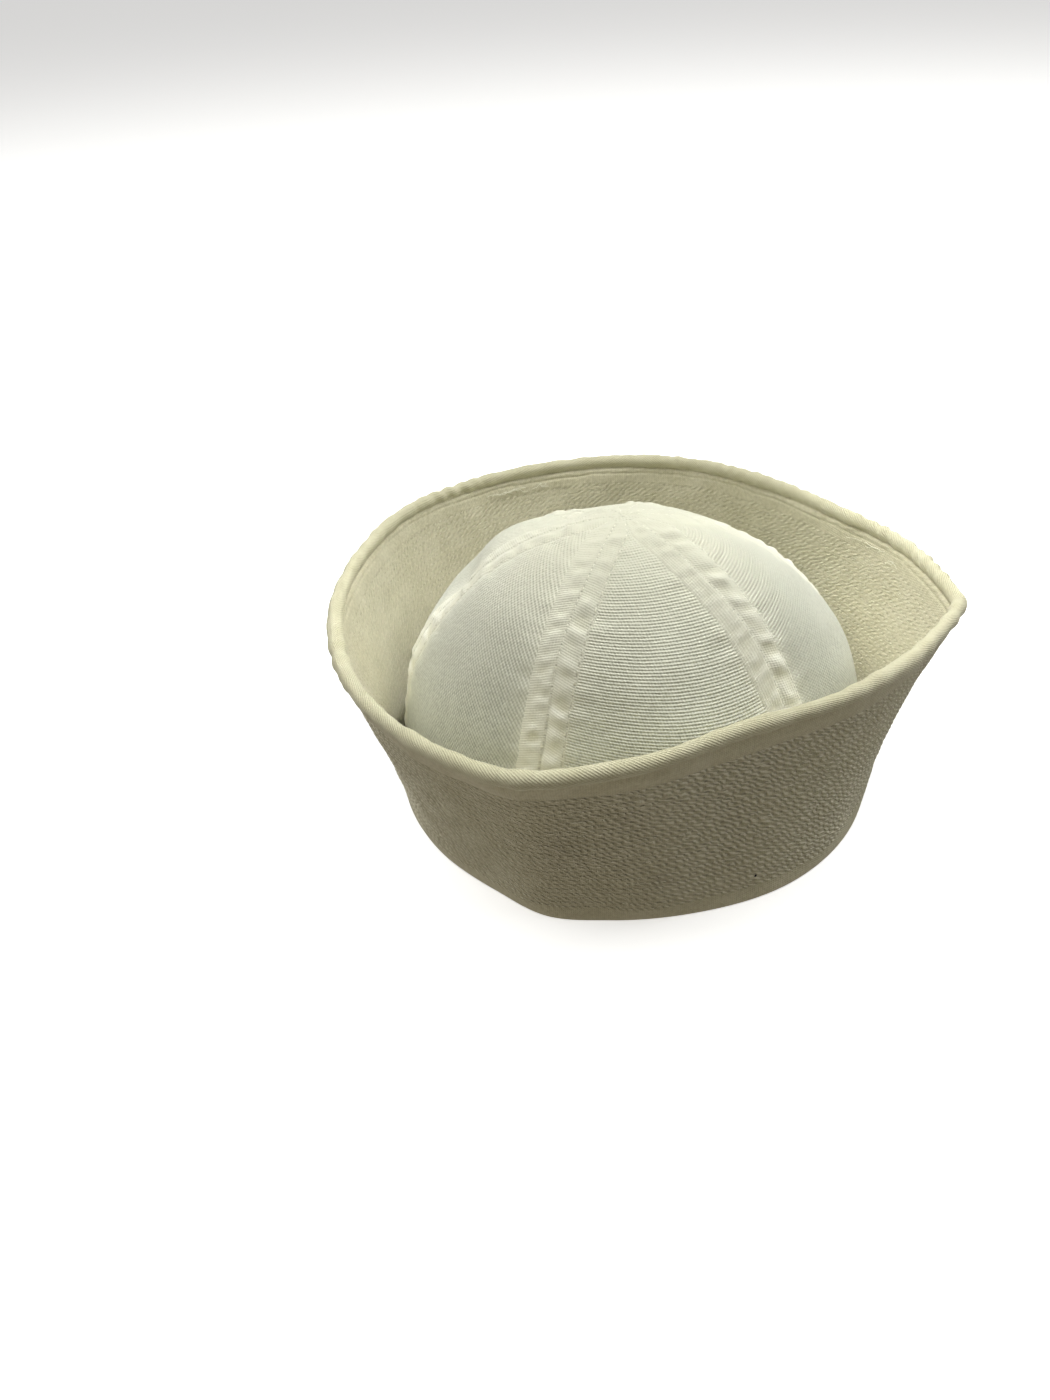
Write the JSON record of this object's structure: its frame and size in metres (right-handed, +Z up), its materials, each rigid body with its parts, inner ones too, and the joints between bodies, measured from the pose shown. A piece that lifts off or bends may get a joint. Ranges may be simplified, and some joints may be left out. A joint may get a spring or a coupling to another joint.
{
  "type": "sailor cap",
  "caption": "White cotton sailor cap: a domed crown of sewn gores inside a tall turned-up stitched brim with a rolled edge, pinched to a point on one side.",
  "frame": {"origin": "on the surface the cap rests on, below the middle of its box", "axes": "+Z up through the crown, +Y towards the wearer's back, -X towards the wearer's right, where the brim is pinched"},
  "size_m": [0.2326, 0.2338, 0.1131],
  "materials": {
    "crown_cloth": "matte",
    "seam_cloth": "matte",
    "brim_cloth": "matte",
    "binding_cloth": "matte"
  },
  "bodies": {
    "root": {"brim": "brim_cloth", "rim_binding": "binding_cloth", "crown_gore_1": "crown_cloth", "crown_gore_2": "crown_cloth", "crown_gore_3": "crown_cloth", "crown_gore_4": "crown_cloth", "crown_gore_5": "crown_cloth", "crown_gore_6": "crown_cloth", "crown_seam_band_1": "seam_cloth", "crown_seam_band_2": "seam_cloth", "crown_seam_band_3": "seam_cloth", "crown_seam_band_4": "seam_cloth", "crown_seam_band_5": "seam_cloth", "crown_seam_band_6": "seam_cloth"}
  },
  "joints": []
}
